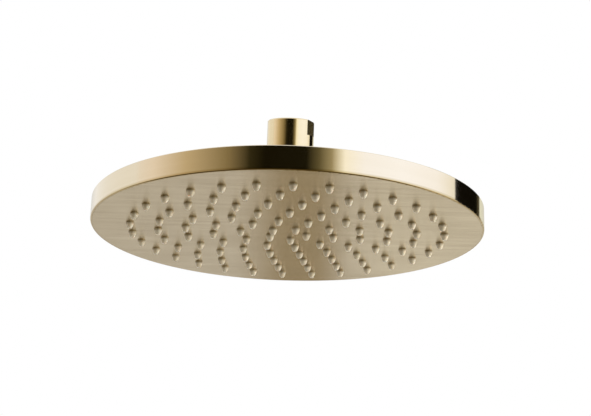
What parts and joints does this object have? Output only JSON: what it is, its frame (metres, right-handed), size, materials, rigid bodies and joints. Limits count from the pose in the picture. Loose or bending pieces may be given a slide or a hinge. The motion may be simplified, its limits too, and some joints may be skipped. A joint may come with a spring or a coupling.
{
  "type": "rain shower head",
  "caption": "Round flat rain shower head in brushed brass with rings of silicone nozzles, hung on a ball swivel with a threaded inlet.",
  "frame": {"origin": "on the head's axis, in the plane of the nozzle tips", "axes": "+Z along the head's axis, towards the inlet; -Y towards the side that the picture is taken from"},
  "size_m": [0.25, 0.25, 0.0798],
  "materials": {
    "brushed_brass": "brushed",
    "plain_brass": "machined",
    "screen_steel": "satin",
    "nozzle_silicone": "satin",
    "black_rubber": "matte",
    "white_plastic": "satin",
    "regulator_plastic": "moulded"
  },
  "bodies": {
    "inlet": {"inlet_connector": "brushed_brass", "inlet_washer": "black_rubber", "strainer_screen": "screen_steel", "flow_regulator": "regulator_plastic"},
    "slip": {"slip_ring": "white_plastic"},
    "seat": {"ball_seat": "white_plastic"},
    "head": {"swivel_nut": "brushed_brass", "swivel_hub": "brushed_brass", "seat_seal": "black_rubber", "hub_gasket": "black_rubber", "hub_washer": "plain_brass", "hub_lock_nut": "plain_brass", "upper_shell": "brushed_brass", "spray_plate": "brushed_brass", "nozzle_mat": "nozzle_silicone", "mat_retainer": "white_plastic", "face_gasket": "black_rubber"}
  },
  "joints": [
    {"name": "tilt_front", "type": "hinge", "parent": "inlet", "child": "slip", "pos_m": [0, 0, 0.0339], "axis": [0.9994, 0.0349, 0], "range_deg": [-3.8, 26.2]},
    {"name": "tilt_side", "type": "hinge", "parent": "slip", "child": "seat", "pos_m": [0, 0, 0.0339], "axis": [-0.0349, 0.9994, 0], "range_deg": [-15, 15]},
    {"name": "swivel", "type": "hinge", "parent": "seat", "child": "head", "pos_m": [0, 0, 0.0339], "axis": [0, 0, 1], "continuous": true}
  ]
}
